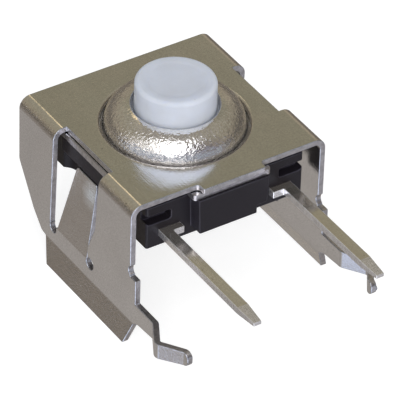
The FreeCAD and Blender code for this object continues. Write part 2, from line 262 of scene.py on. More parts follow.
@dataclass
class SurfaceEffects:
    """Shared effects that the finishes place with their own values."""

    fine_times: float = 9.0
    speck_steepness: float = 30.0
    bare_share: float = 0.72
    wander_scale: float = 500.0
    wander_reach: float = 0.0012
    gap_scale: float = 700.0
    gap_span: Span = (0.56, 0.62)

    def __post_init__(self) -> None:
        """Build each group once."""
        self.grain = make_group(
            "rolled_grain", {"Scale": 1000.0, "Stretch": 1.0}, ("Mottle", "Fine"), self._grain)
        self.specks = make_group("specks", {"Scale": 3000.0, "Size": 0.1}, ("Mask",), self._specks)
        self.scratches = make_group(
            "scratches", {"Scale": 900.0, "Width": 0.02}, ("Mask",), self._scratches)

    def _grain(self, pen: Graph, entry: Node) -> dict[str, Socket]:
        """Draw broad mottling and fine rolling grain, drawn out along Y.

        Args:
            pen: The group's pen.
            entry: Its input node.

        Returns:
            Its outputs.
        """
        place = pen.add("ShaderNodeTexCoord").outputs["Object"]
        split = pen.add("ShaderNodeSeparateXYZ", {0: place}).outputs
        along = pen.sums("DIVIDE", split[1], entry.outputs["Stretch"])
        spot = pen.add("ShaderNodeCombineXYZ", {0: split[0], 1: along, 2: split[2]}).outputs[0]
        scale = entry.outputs["Scale"]
        finer = pen.sums("MULTIPLY", scale, self.fine_times)
        return {"Mottle": pen.noise(spot, scale, 4.0, Roughness=0.55),
                "Fine": pen.noise(spot, finer, 3.0, Roughness=0.6)}

    def _specks(self, pen: Graph, entry: Node) -> dict[str, Socket]:
        """Draw small scattered dots.

        Args:
            pen: The group's pen.
            entry: Its input node.

        Returns:
            Its outputs.
        """
        place = pen.add("ShaderNodeTexCoord").outputs["Object"]
        cells = pen.add("ShaderNodeTexVoronoi", {"Vector": place, "Scale": entry.outputs["Scale"]})
        inner = pen.sums("SUBTRACT", entry.outputs["Size"], cells.outputs["Distance"])
        dots = pen.sums("MULTIPLY", inner, self.speck_steepness)
        held = pen.add("ShaderNodeClamp", {"Value": dots}).outputs[0]
        pick = pen.add("ShaderNodeSeparateColor", {0: cells.outputs["Color"]}).outputs[0]
        chosen = pen.sums("GREATER_THAN", pick, self.bare_share)
        return {"Mask": pen.sums("MULTIPLY", held, chosen)}

    def _scratches(self, pen: Graph, entry: Node) -> dict[str, Socket]:
        """Draw thin wandering handling marks, where a noise crosses its middle value.

        Args:
            pen: The group's pen.
            entry: Its input node.

        Returns:
            Its outputs.
        """
        place = pen.add("ShaderNodeTexCoord").outputs["Object"]
        bend = pen.add("ShaderNodeTexNoise", {"Vector": place, "Scale": self.wander_scale, "Detail": 2.0})
        shift = pen.add(
            "ShaderNodeVectorMath", {0: bend.outputs["Color"], 3: self.wander_reach}, operation="SCALE")
        moved = pen.add("ShaderNodeVectorMath", {0: place, 1: shift.outputs[0]}, operation="ADD")
        field = pen.noise(moved.outputs[0], entry.outputs["Scale"], 1.0, Distortion=0.6)
        off = pen.sums("ABSOLUTE", pen.sums("SUBTRACT", field, 0.5))
        line = pen.sums("LESS_THAN", off, pen.sums("MULTIPLY", entry.outputs["Width"], 0.1))
        kept = pen.fit(pen.noise(place, self.gap_scale, 1.0), *self.gap_span)
        return {"Mask": pen.sums("MULTIPLY", line, kept)}


def new_material(name: str) -> tuple[Material, Graph, Node]:
    """Start a material.

    Args:
        name: The material's name.

    Returns:
        The material, its pen and its Principled node.
    """
    made = bpy.data.materials.new(name)
    made.use_nodes = True
    pen = Graph(made.node_tree)
    shader = pen.add("ShaderNodeBsdfPrincipled")
    leave = pen.add("ShaderNodeOutputMaterial")
    pen.link(shader.outputs[0], leave.inputs[0])
    return made, pen, shader


@dataclass(frozen=True)
class SheetFinish:
    """Plated sheet: semi-bright, mottled and gently wavy, with rolling lines, specks and scratches.

    Attributes:
        highlight_patch_at: Middle of a patch of painted highlight, pale and bluish, if there is one.
        flat_share: Share of the orange peel's depth on level and upright faces.
        slope_span: Upward part of the normals of sloping faces.
    """

    name: str
    colour: Colour = (0.985, 0.975, 0.97)
    dull_colour: Colour = (0.93, 0.915, 0.905)
    rough_span: Span = (0.08, 0.13)
    mottle_scale: float = 900.0
    peel_scale: float = 22000.0
    stretch: float = 5.0
    line_relief: float = 0.25
    peel_relief: float = 1.3
    wave_relief: float = 3.0
    peel_tint: float = 0.4
    metal: float = 1.0
    mottle_span: Span = (0.35, 0.68)
    peel_span: Span = (0.35, 0.75)
    line_scale: float = 17000.0
    line_stretch: float = 50.0
    wave_scale: float = 620.0
    flat_share: float = 0.13
    slope_span: Span = (0.08, 0.9)
    slope_fade: float = 0.08
    speck_scale: float = 2600.0
    speck_size: float = 0.09
    speck_share: float = 0.8
    speck_shade: float = 0.55
    scratch_roughness: float = 0.12
    # A patch of painted highlight, pale and bluish, streaked along the rolling lines
    highlight_patch_at: tuple[float, float, float] | None = None
    highlight_patch_reach: float = 0.6
    highlight_patch_core: float = 0.1
    highlight_patch_span: Span = (0.15, 0.75)
    highlight_patch_colour: Colour = (0.86, 0.93, 1.0)
    highlight_patch_roughness: float = 0.2
    highlight_patch_metal: float = 0.4

    def build(self, effects: SurfaceEffects) -> Material:
        """Draw the finish.

        Args:
            effects: The shared node groups.

        Returns:
            The material.
        """
        made, pen, shader = new_material(self.name)
        place = pen.add("ShaderNodeTexCoord").outputs["Object"]
        grain = pen.group(effects.grain, Scale=self.mottle_scale, Stretch=self.stretch).outputs
        lines = pen.group(effects.grain, Scale=self.line_scale, Stretch=self.line_stretch).outputs["Mottle"]
        peel = pen.group(effects.grain, Scale=self.peel_scale, Stretch=1.0).outputs["Mottle"]
        specks = pen.group(effects.specks, Scale=self.speck_scale, Size=self.speck_size).outputs[0]
        darker = tuple(part * self.speck_shade for part in self.dull_colour)
        plain = pen.blend(pen.fit(grain["Mottle"], *self.mottle_span), self.colour, self.dull_colour)
        tinted = pen.blend(pen.fit(peel, *self.peel_span, 0.0, self.peel_tint), plain, darker)
        colour = pen.blend(pen.sums("MULTIPLY", specks, self.speck_share), tinted, darker)
        scratched = pen.sums("MULTIPLY", pen.group(effects.scratches).outputs[0], self.scratch_roughness)
        rough = pen.sums("ADD", pen.fit(grain["Fine"], *NOISE_SPAN, *self.rough_span), scratched)
        # Painted highlight: a pale bluish patch, a little rougher and less metallic
        if self.highlight_patch_at:
            highlight_share = self._highlight_share_of(pen, place, lines)
            colour = pen.blend(highlight_share, colour, self.highlight_patch_colour)
            rough = pen.sums("ADD", rough, pen.sums("MULTIPLY", highlight_share, self.highlight_patch_roughness))
            pen.link(pen.fit(highlight_share, 0.0, 1.0, self.metal, self.highlight_patch_metal), shader.inputs["Metallic"])
        else:
            shader.inputs["Metallic"].default_value = self.metal
        pen.link(colour, shader.inputs["Base Color"])
        pen.link(rough, shader.inputs["Roughness"])
        waves = pen.noise(place, self.wave_scale, 1.0)
        bumped = {}
        for height, relief, strength in ((waves, self.wave_relief, 1.0), (lines, self.line_relief, 1.0),
                                         (peel, self.peel_relief, self._peel_share(pen))):
            bump = pen.add("ShaderNodeBump", {
                "Strength": strength, "Distance": relief * RELIEF, "Height": height, **bumped})
            bumped = {"Normal": bump.outputs[0]}
        pen.link(bumped["Normal"], shader.inputs["Normal"])
        return made

    def _highlight_share_of(self, pen: Graph, place: Socket, lines: Socket) -> Socket:
        """Mask of the patch of painted highlight, streaked along the rolling lines.

        Args:
            pen: The material's pen.
            place: The object's coordinates.
            lines: Value of the rolling lines.

        Returns:
            The mask's socket.
        """
        centre = tuple(part * MM for part in self.highlight_patch_at)
        away = pen.add("ShaderNodeVectorMath", {0: place, 1: centre}, operation="DISTANCE").outputs["Value"]
        inside = pen.fit(away, self.highlight_patch_reach * MM, self.highlight_patch_core * MM)
        return pen.sums("MULTIPLY", inside, pen.fit(lines, *self.highlight_patch_span))

    def _peel_share(self, pen: Graph) -> Socket:
        """Share of the orange peel's depth, full on the sloping faces that were stretched most.

        Args:
            pen: The material's pen.

        Returns:
            The share's socket.
        """
        normal = pen.add("ShaderNodeNewGeometry").outputs["Normal"]
        upward = pen.sums("ABSOLUTE", pen.add("ShaderNodeSeparateXYZ", {0: normal}).outputs[2])
        sloping = pen.band(upward, self.slope_span, self.slope_fade)
        return pen.fit(sloping, 0.0, 1.0, self.flat_share, 1.0)


@dataclass(frozen=True)
class CutEdgeFinish:
    """Sheared or rounded edge of the sheet, with fine streaks through the thickness."""

    name: str
    colour: Colour = (0.66, 0.64, 0.65)
    streak_colour: Colour = (0.46, 0.44, 0.45)
    roughness: float = 0.36
    streak_scale: float = 5200.0
    metal: float = 0.95
    streak_stretch: float = 0.35
    streak_span: Span = (0.35, 0.65)
    rough_shares: Span = (0.8, 1.25)
    strength: float = 0.3

    def build(self, effects: SurfaceEffects) -> Material:
        """Draw the finish.

        Args:
            effects: The shared node groups.

        Returns:
            The material.
        """
        made, pen, shader = new_material(self.name)
        grain = pen.group(effects.grain, Scale=self.streak_scale, Stretch=self.streak_stretch).outputs
        streaks = pen.fit(grain["Mottle"], *self.streak_span)
        pen.link(pen.blend(streaks, self.colour, self.streak_colour), shader.inputs["Base Color"])
        low, high = (self.roughness * share for share in self.rough_shares)
        pen.link(pen.fit(grain["Fine"], *NOISE_SPAN, low, high), shader.inputs["Roughness"])
        shader.inputs["Metallic"].default_value = self.metal
        bump = pen.add("ShaderNodeBump", {
            "Strength": self.strength, "Distance": RELIEF, "Height": grain["Mottle"]})
        pen.link(bump.outputs[0], shader.inputs["Normal"])
        return made


def sheet_rim_with_highlight(name: str) -> CutEdgeFinish:
    """Rounded edge of the plated sheet, the same on the bracket and the cover: partly its own sheared finish,
    partly painted highlight in its bluish tint.
    """
    return CutEdgeFinish(name, colour=(0.61, 0.63, 0.69), streak_colour=(0.41, 0.42, 0.46),
                         roughness=0.28, streak_scale=3600.0, metal=0.85)


@dataclass(frozen=True)
class PlasticFinish:
    """Moulded plastic with a fine skin texture, faint flow mottling and a little dust."""

    name: str
    colour: Colour
    other_colour: Colour
    rough_span: Span
    skin_scale: float
    relief: float
    glow: float = 0.0
    glow_radius: Colour = (0.9, 1.0, 1.2)
    glow_reach: float = 0.0004
    shine: float = 0.5
    speck_scale: float = 2100.0
    speck_size: float = 0.07
    speck_share: float = 0.35
    dust_lift: float = 0.06

    def build(self, effects: SurfaceEffects) -> Material:
        """Draw the finish.

        Args:
            effects: The shared node groups.

        Returns:
            The material.
        """
        made, pen, shader = new_material(self.name)
        scale = self.skin_scale / effects.fine_times
        grain = pen.group(effects.grain, Scale=scale, Stretch=1.0).outputs
        specks = pen.group(effects.specks, Scale=self.speck_scale, Size=self.speck_size).outputs[0]
        dust = tuple(0.5 * part + self.dust_lift for part in self.colour)
        mottled = pen.blend(pen.fit(grain["Mottle"], *NOISE_SPAN), self.colour, self.other_colour)
        dusty = pen.blend(pen.sums("MULTIPLY", specks, self.speck_share), mottled, dust)
        pen.link(dusty, shader.inputs["Base Color"])
        pen.link(pen.fit(grain["Fine"], *NOISE_SPAN, *self.rough_span), shader.inputs["Roughness"])
        bump = pen.add("ShaderNodeBump", {
            "Strength": self.relief, "Distance": RELIEF, "Height": grain["Fine"]})
        pen.link(bump.outputs[0], shader.inputs["Normal"])
        shader.inputs["Specular IOR Level"].default_value = self.shine
        if self.glow:
            shader.inputs["Subsurface Weight"].default_value = self.glow
            shader.inputs["Subsurface Radius"].default_value = self.glow_radius
            shader.inputs["Subsurface Scale"].default_value = self.glow_reach
        return made


def copy_of_node(node: str) -> BMesh:
    """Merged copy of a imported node's mesh, in millimetres.

    Args:
        node: The node's name.

    Returns:
        The copy, with flat areas as single faces.
    """
    shape = bmesh.new()
    shape.from_mesh(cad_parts[node].data)
    bmesh.ops.scale(shape, vec=(1 / MM,) * 3, verts=shape.verts)
    bmesh.ops.remove_doubles(shape, verts=shape.verts, dist=WELD)
    bmesh.ops.dissolve_limit(
        shape, angle_limit=FLAT_TURN, use_dissolve_boundaries=False,
        verts=shape.verts, edges=shape.edges, delimit=set())
    return shape


def soften(shape: BMesh, width: float, rim: int, segments: int = 2,
           merge: float = 0.0) -> None:
    """Round the sharp edges, within the box that the shape has.

    Args:
        shape: The mesh to work on.
        width: Size of the rounding.
        rim: Material index of the rounding.
        segments: Steps across it.
        merge: Vertices nearer than this are joined first, and the width is then used in full,
            except along ledges; without it, the shortest edge limits the width.
    """
    mark = shape.faces.layers.int.get(ROUNDING) or shape.faces.layers.int.new(ROUNDING)
    if merge:
        bmesh.ops.remove_doubles(shape, verts=shape.verts, dist=merge)
    sharp = [e for e in shape.edges if len(e.link_faces) == 2 and e.calc_face_angle(0.0) > SHARP_TURN
             and not (merge and min(f.calc_area() for f in e.link_faces)
                      <= LEDGE_SHARE * width * e.calc_length())]
    reach = [(min(v.co[i] for v in shape.verts), max(v.co[i] for v in shape.verts)) for i in range(3)]
    made = bmesh.ops.bevel(
        shape, geom=sharp, offset=width, offset_type="OFFSET", segments=segments, profile=0.5,
        affect="EDGES", clamp_overlap=not merge, material=rim, loop_slide=True)
    for vert in shape.verts:
        vert.co = Vector(min(max(part, low), high) for part, (low, high) in zip(vert.co, reach))
    for face in made["faces"]:
        face[mark] = 1


def corner_normals(mesh: bpy.types.Mesh) -> list[Vector]:
    """Normals that keep flats flat and bends even, with the turn left to the rounded edges.

    Args:
        mesh: The finished mesh.

    Returns:
        One normal for each corner.
    """
    mark = mesh.attributes.get(ROUNDING)
    rounded = [bool(mark and mark.data[i].value) for i in range(len(mesh.polygons))]
    around = [[] for _ in mesh.vertices]
    for face in mesh.polygons:
        for vert in face.vertices:
            around[vert].append((face.normal.copy(), face.area, rounded[face.index]))
    close, wide = math.cos(SMOOTH_TURN), math.cos(SHARP_TURN)
    result = []
    for face in mesh.polygons:
        limit = wide if rounded[face.index] else close
        for vert in face.vertices:
            near = [item for item in around[vert] if item[0].dot(face.normal) > limit]
            firm = [item for item in near if not item[2]] or near
            result.append(sum((normal * area for normal, area, _ in firm), Vector()).normalized())
    return result


def mark_cut_edges(shape: BMesh, thickness: float, longest: float = 8.0, slack: float = 0.045,
                   corners: int = 6, spread: float = 0.6) -> None:
    """Give the second material to faces that have no other side one thickness behind them.

    Args:
        shape: The mesh of a sheet part.
        thickness: The sheet's thickness.
        longest: A face larger than a cut edge of this length is a side of the sheet.
        slack: How far a measured thickness may be off.
        corners: A face is probed at its middle and towards this many of its corners.
        spread: How far towards a corner.
    """
    tree = BVHTree.FromBMesh(shape)
    for face in shape.faces:
        if face.calc_area() > thickness * longest:
            continue
        middle = face.calc_center_median_weighted()
        spots = [middle] + [middle.lerp(corner.co, spread) for corner in face.verts[:corners]]
        hits = 0
        for spot in spots:
            _, _, _, depth = tree.ray_cast(spot - face.normal * NEAR, -face.normal)
            hits += depth is not None and abs(depth - thickness) < slack
        face.material_index = 0 if hits * 2 >= len(spots) else 1


def hand_over(shape: BMesh, name: str, body: Body,
              materials: list[Material], replaced: tuple[str, ...]) -> Object:
    """Turn a finished mesh into a piece of the model.

    Args:
        shape: The mesh, in millimetres; it is freed.
        name: The piece's name.
        body: The body that it rides on.
        materials: Its materials.
        replaced: Nodes that it stands for.

    Returns:
        The new object.
    """
    bmesh.ops.scale(shape, vec=(MM,) * 3, verts=shape.verts)
    for face in shape.faces:
        face.smooth = True
    mesh = bpy.data.meshes.new(name)
    shape.to_mesh(mesh)
    shape.free()
    mesh.set_sharp_from_angle(angle=SHARP_TURN)
    mesh.normals_split_custom_set(corner_normals(mesh))
    piece = bpy.data.objects.new(name, mesh)
    bpy.context.scene.collection.objects.link(piece)
    for material in materials:
        mesh.materials.append(material)
    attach(piece, body.value)
    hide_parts(*replaced)
    LOG.info("%s: %d faces on %s", name, len(mesh.polygons), body.value)
    return piece


def arc(centre: tuple[float, float], radii: tuple[float, float], start: float, end: float,
        steps: int) -> Profile:
    """Points of an elliptic arc in a profile.

    Args:
        centre: Its centre as distance from the axis and height.
        radii: Its half-widths.
        start: Start angle in degrees.
        end: End angle in degrees.
        steps: Number of steps.

    Returns:
        The points, ends included.
    """
    turns = [math.radians(start + (end - start) * i / steps) for i in range(steps + 1)]
    return [(centre[0] + radii[0] * math.cos(t), centre[1] + radii[1] * math.sin(t)) for t in turns]


def spun(shape: BMesh, profile: Profile, axis_at: Vector, steps: int) -> list[BMVert]:
    """Spin a profile about an upright axis.

    Args:
        shape: The mesh that takes the result.
        profile: Distance from the axis and height of each point.
        axis_at: A point on the axis.
        steps: Steps of the full turn.

    Returns:
        The new vertices.
    """
    before = set(shape.verts)
    line = [shape.verts.new((axis_at.x + r, axis_at.y, z)) for r, z in profile]
    edges = [shape.edges.new(pair) for pair in zip(line, line[1:])]
    bmesh.ops.spin(
        shape, geom=line + edges, cent=axis_at, axis=(0, 0, 1), dvec=(0, 0, 0),
        angle=math.tau, steps=steps, use_merge=True, use_duplicate=False)
    return [v for v in shape.verts if v not in before]


def spun_solid(profile: Profile, axis_at: Vector, steps: int) -> BMesh:
    """Spin a profile that starts and ends on the axis into a closed mesh.

    Args:
        profile: Distance from the axis and height of each point.
        axis_at: A point on the axis.
        steps: Steps of the full turn.

    Returns:
        The mesh, with its faces outwards.
    """
    shape = bmesh.new()
    spun(shape, profile, axis_at, steps)
    bmesh.ops.remove_doubles(shape, verts=shape.verts, dist=WELD)
    bmesh.ops.recalc_face_normals(shape, faces=shape.faces)
    return shape


@dataclass
class Piece:
    """What every piece is built from.

    Attributes:
        effects: The shared node groups.
        axis_at: A point on the button's axis, in millimetres.
    """

    effects: SurfaceEffects
    axis_at: Vector

    def reach(self, vert: BMVert) -> float:
        """Distance of a vertex from the button's axis."""
        return (vert.co - self.axis_at).xy.length

    def materials(self, *finishes: SheetFinish | CutEdgeFinish | PlasticFinish) -> list[Material]:
        """Build the material of each finish."""
        return [finish.build(self.effects) for finish in finishes]


@dataclass
class Bracket(Piece):
    """Folded bracket with its wings, tongues and snap-in legs."""

    sheet: float = 0.2
    edge_radius: float = 0.024
    merge: float = 0.02
    plate_top: float = 5.16
    hole_reach: float = 2.7
    hole_rounding: float = 0.08
    hole_steps: int = 5
    # Middle of the painted highlight on the left tongue, in millimetres
    highlight_patch_at: tuple[float, float, float] = (-3.21, 2.08, 3.64)

    def build(self) -> Object:
        """Dress the folded sheet.

        Returns:
            The bracket.
        """
        shape = copy_of_node("bracket")
        mark_cut_edges(shape, self.sheet)
        ring = [e for e in shape.edges if e.calc_face_angle(0.0) > SHARP_TURN and all(
            abs(v.co.z - self.plate_top) < NEAR and self.reach(v) < self.hole_reach
            for v in e.verts)]
        bmesh.ops.bevel(
            shape, geom=ring, offset=self.hole_rounding, offset_type="OFFSET", segments=self.hole_steps,
            profile=0.5, affect="EDGES", clamp_overlap=True, material=0, loop_slide=True)
        LOG.info("hole rounding: %d edges", len(ring))
        soften(shape, self.edge_radius, 2, merge=self.merge)
        materials = self.materials(
            SheetFinish("tinned_sheet", highlight_patch_at=self.highlight_patch_at), CutEdgeFinish("tinned_sheet_cut"),
            sheet_rim_with_highlight("tinned_sheet_rim"))
        return hand_over(shape, "bracket_sheet", Body.HOUSING, materials, ("bracket",))


@dataclass
class Cover(Piece):
    """Cover sheet with the drawn dome around the button.

    Attributes:
        rim_overlap: How far down the dome the hole's rounding starts, in its own radii.
        grain_octaves: Weight and fineness of each noise in the grain.
        grain_lean: How far the grain pushes upwards as it pushes outwards.
    """

    sheet: float = 0.2
    sheet_top: float = 4.93
    edge_radius: float = 0.02
    hole_radius: float = 1.41
    dome_radius: float = 2.27
    dome_rise: float = 0.82
    spring_height: float = 5.06
    foot_radius: float = 0.13
    rim_radius: float = 0.05
    rim_overlap: float = 1.2
    burr_radius: float = 0.02
    turns: int = 540
    arc_steps: int = 60
    grain_size: float = 0.045
    grain_height: float = 0.007
    grain_octaves: tuple[tuple[float, float], ...] = ((1.2, 0.5), (1.0, 1.0), (0.5, 2.3))
    grain_lean: float = 0.8
    plain_rim: float = 0.08
    plain_foot: float = 0.1
    fade: float = 0.15

    def build(self) -> Object:
        """Dress the cover and draw its dome afresh, with the grain of drawn sheet.

        Returns:
            The cover.
        """
        shape = copy_of_node("cover")
        foot = self.dome_radius + self.foot_radius
        old = [f for f in shape.faces if all(self.reach(v) < foot + NEAR for v in f.verts)]
        bmesh.ops.delete(shape, geom=old, context="FACES")
        rims = [e for e in shape.edges if len(e.link_faces) == 1]
        mark_cut_edges(shape, self.sheet)
        new = set(spun(shape, self._profile(), self.axis_at, self.turns))
        joins = [e for e in shape.edges if len(e.link_faces) == 1 and e.verts[0] in new]
        for level in (self.sheet_top, self.sheet_top - self.sheet):
            loop = [e for e in rims + joins if abs(e.verts[0].co.z - level) < self.sheet / 2]
            bmesh.ops.bridge_loops(shape, edges=loop)
        self._roughen(new)
        bmesh.ops.recalc_face_normals(shape, faces=shape.faces)
        soften(shape, self.edge_radius, 2)
        for face in shape.faces:
            if all(self.reach(v) < foot for v in face.verts):
                face.material_index = 3
        dome = SheetFinish(
            "drawn_dome", colour=(0.99, 0.97, 0.945), dull_colour=(0.87, 0.85, 0.825),
            rough_span=(0.05, 0.1), mottle_scale=1300.0, peel_scale=15000.0, stretch=1.0,
            line_relief=0.0, peel_relief=1.6, wave_relief=0.5, peel_tint=0.5, metal=0.95)
        materials = self.materials(
            SheetFinish("cover_sheet"), CutEdgeFinish("cover_sheet_cut"), sheet_rim_with_highlight("cover_sheet_rim"), dome)
        return hand_over(shape, "cover_pressing", Body.HOUSING, materials, ("cover",))

    def _profile(self) -> Profile:
        """Section of the dome from the top of its foot, over the rim, to its underside.

        Returns:
            Distance from the axis and height of each point.
        """
        foot, rim, burr = self.foot_radius, self.rim_radius, self.burr_radius
        wide = self.dome_radius - self.hole_radius
        spring_at = (self.hole_radius, self.spring_height)
        top = self.spring_height + self.dome_rise
        rim_start = 90 - math.degrees(math.asin(rim / self.dome_rise)) * self.rim_overlap
        points = arc((self.dome_radius + foot, self.sheet_top + foot), (foot, foot), 268, 180, 6)
        points += arc(spring_at, (wide, self.dome_rise), 0, rim_start, self.arc_steps)
        points += arc((self.hole_radius + rim, top - rim), (rim, rim), 80, 180, 6)
        points += arc((self.hole_radius + burr, top - self.sheet + burr), (burr, burr), 180, 270, 3)
        points += arc(spring_at, (wide - self.sheet, self.dome_rise - self.sheet), 86, 0, 12)
        points.append((self.dome_radius - self.sheet, self.sheet_top - self.sheet + 0.01))
        return points

    def _roughen(self, verts: Iterable[BMVert]) -> None:
        """Raise the orange-peel grain that drawing leaves on the dome's outside.

        Args:
            verts: The dome's vertices.
        """
        for vert in verts:
            out = self.reach(vert) - self.hole_radius - self.plain_rim
            if vert.co.z < self.sheet_top + self.plain_foot or out < 0.0:
                continue
            spot = vert.co / self.grain_size
            swell = sum(weight * noise.noise(spot * finer) for weight, finer in self.grain_octaves)
            outside = (vert.co - Vector((self.axis_at.x, self.axis_at.y, vert.co.z))).normalized()
            lean = Vector((outside.x, outside.y, self.grain_lean)).normalized()
            vert.co += lean * (swell * self.grain_height * min(1.0, out / self.fade))


@dataclass
class Base(Piece):
    """Black moulded base."""

    edge_radius: float = 0.028
    merge: float = 0.02
    front: float = -0.5
    highlight_leftward: float = -0.9

    def build(self) -> Object:
        """Dress the moulding, with painted highlight: a paler, bluish colour on its rounded edges and on the
        front block's left sides.

        Returns:
            The base.
        """
        shape = copy_of_node("base")
        # The front block's left faces take the paler colour as painted highlight
        for face in shape.faces:
            if face.normal.x < self.highlight_leftward and face.calc_center_median_weighted().y < self.front:
                face.material_index = 1
        soften(shape, self.edge_radius, 1, merge=self.merge)
        materials = self.materials(
            PlasticFinish("black_moulding", (0.013, 0.0108, 0.0145), (0.0145, 0.0122, 0.0165),
                          rough_span=(0.36, 0.46), skin_scale=11000.0, relief=0.2, shine=0.3),
            # Paler, bluish colour of the rounded edges and left faces: painted highlight
            PlasticFinish("black_moulding_rim_painted_highlight", (0.02, 0.0175, 0.0245), (0.034, 0.031, 0.045),
                          rough_span=(0.44, 0.54), skin_scale=14000.0, relief=0.2))
        return hand_over(shape, "base_moulding", Body.HOUSING, materials, ("base",))


@dataclass
class Terminals(Piece):
    """The two pins with their roots and inner contacts."""

    thickness: float = 0.25
    edge_radius: float = 0.02

    def build(self) -> list[Object]:
        """Dress both terminals.

        Returns:
            The terminals.
        """
        materials = self.materials(
            SheetFinish("tinned_strip", colour=(0.99, 0.94, 0.85), dull_colour=(0.93, 0.86, 0.75),
                        rough_span=(0.09, 0.15), mottle_scale=1100.0, peel_scale=20000.0, stretch=6.0,
                        line_relief=0.3, peel_relief=0.4, peel_tint=0.3, metal=0.92),
            CutEdgeFinish("tinned_strip_cut", colour=(0.93, 0.91, 0.92), streak_colour=(0.75, 0.73, 0.73),
                          roughness=0.28, metal=0.85),
            # Rounded edges of the pins: partly their own bare finish, partly painted highlight in the
            # near-white, less metallic colour
            CutEdgeFinish("tinned_strip_rim_highlight", colour=(0.93, 0.93, 0.95), streak_colour=(0.7, 0.68, 0.66),
                          roughness=0.24, streak_scale=3600.0, metal=0.6))
        pieces = []
        for node in ("terminal_left", "terminal_right"):
            shape = copy_of_node(node)
            mark_cut_edges(shape, self.thickness)
            soften(shape, self.edge_radius, 2)
            pieces.append(hand_over(shape, node + "_strip", Body.HOUSING, materials, (node,)))
        return pieces


@dataclass
class SnapDisc(Piece):
    """Sprung disc under the button."""

    rim_height: float = 3.77
    radius: float = 1.85
    rise: float = 0.27
    thickness: float = 0.06
    pressed_share: float = 0.28
    turns: int = 96
    arc_steps: int = 10

    def build(self) -> Object:
        """Spin the disc.

        Returns:
            The disc.
        """
        swing = (self.radius ** 2 + self.rise ** 2) / (2 * self.rise)
        spread = math.degrees(math.asin(self.radius / swing))
        middle = (0, self.rim_height + self.rise - swing)
        low = arc(middle, (swing, swing), 90, 90 - spread, self.arc_steps)
        high = [(r, z + self.thickness) for r, z in reversed(low)]
        shape = spun_solid(low + high, self.axis_at, self.turns)
        finish = SheetFinish("spring_sheet", colour=(0.78, 0.77, 0.75), dull_colour=(0.7, 0.69, 0.67),
                             rough_span=(0.16, 0.26), mottle_scale=1500.0)
        piece = hand_over(shape, "snap_disc_sheet", Body.HOUSING, self.materials(finish),
                          ("snap_disc",))
        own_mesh(piece)
        return piece


@dataclass
class Button(Piece):
    """Round button with its collar and the nub that works the disc.

    Attributes:
        dish_slope: Distances out from the dish's radius, with heights above its floor.
        dish_lip: Distances out from the dish's radius, with heights above the top.
    """

    radius: float = 1.31
    top: float = 6.7595
    edge_radius: float = 0.15
    edge_steps: int = 10
    dish: float = 0.021
    dish_radius: float = 0.97
    dish_slope: tuple[tuple[float, float], ...] = ((-0.14, 0.0), (-0.09, 0.003), (-0.03, 0.008))
    dish_lip: tuple[tuple[float, float], ...] = ((0.02, -0.003), (0.07, -0.001))
    ring_depth: float = 0.6
    collar_top: float = 5.571
    collar_radius: float = 1.75
    collar_low: float = 5.21
    break_width: float = 0.02
    nub_radius: float = 0.6
    nub_low: float = 4.12
    nub_fillet: float = 0.03
    nub_break: float = 0.05
    turns: int = 160

    def build(self) -> Object:
        """Spin the button.

        Returns:
            The button.
        """
        shape = spun_solid(self._profile(), self.axis_at, self.turns)
        finish = PlasticFinish("satin_white_moulding", (0.6, 0.63, 0.695), (0.66, 0.70, 0.785),
                               rough_span=(0.46, 0.58), skin_scale=8000.0, relief=0.1, glow=0.55, shine=0.2)
        return hand_over(shape, "button_moulding", Body.PLUNGER, self.materials(finish),
                         ("button",))

    def _profile(self) -> Profile:
        """Section of the button from the middle of its top to the middle of the nub's end.

        Returns:
            Distance from the axis and height of each point.
        """
        floor = self.top - self.dish
        rim, small = self.edge_radius, self.break_width
        collar_top, collar_low, collar = self.collar_top, self.collar_low, self.collar_radius
        nub = self.nub_radius
        points = [(0.0, floor)]
        points += [(self.dish_radius + out, floor + rise) for out, rise in self.dish_slope]
        points += [(self.dish_radius + out, self.top + rise) for out, rise in self.dish_lip]
        points += arc((self.radius - rim, self.top - rim), (rim, rim), 90, 0, self.edge_steps)
        points += [(self.radius, self.top - self.ring_depth), (self.radius, collar_top + small)]
        points += [(self.radius + small, collar_top), (collar - small, collar_top)]
        points += [(collar, collar_top - small), (collar, collar_low + small)]
        points += [(collar - small, collar_low), (nub + self.nub_fillet, collar_low)]
        points += [(nub, collar_low - self.nub_fillet), (nub, self.nub_low + self.nub_break)]
        points += [(nub - self.nub_break, self.nub_low), (0.0, self.nub_low)]
        return points


@dataclass
class Softbox:
    """One soft white lamp."""

    name: str
    towards: Vector
    power: float
    size: tuple[float, float]
    distance: float = 0.25

    def build(self, aim: Vector) -> None:
        """Hang the lamp so that it faces a point.

        Args:
            aim: The point, in metres.
        """
        data = bpy.data.lights.new(self.name, "AREA")
        data.shape = "RECTANGLE"
        data.size, data.size_y = self.size
        data.energy = self.power
        lamp = bpy.data.objects.new(self.name, data)
        lamp.visible_glossy = False
        back = self.towards.normalized()
        lamp.location = aim + back * self.distance
        lamp.rotation_mode = "QUATERNION"
        lamp.rotation_quaternion = (-back).to_track_quat("-Z", "Y")
        bpy.context.scene.collection.objects.link(lamp)


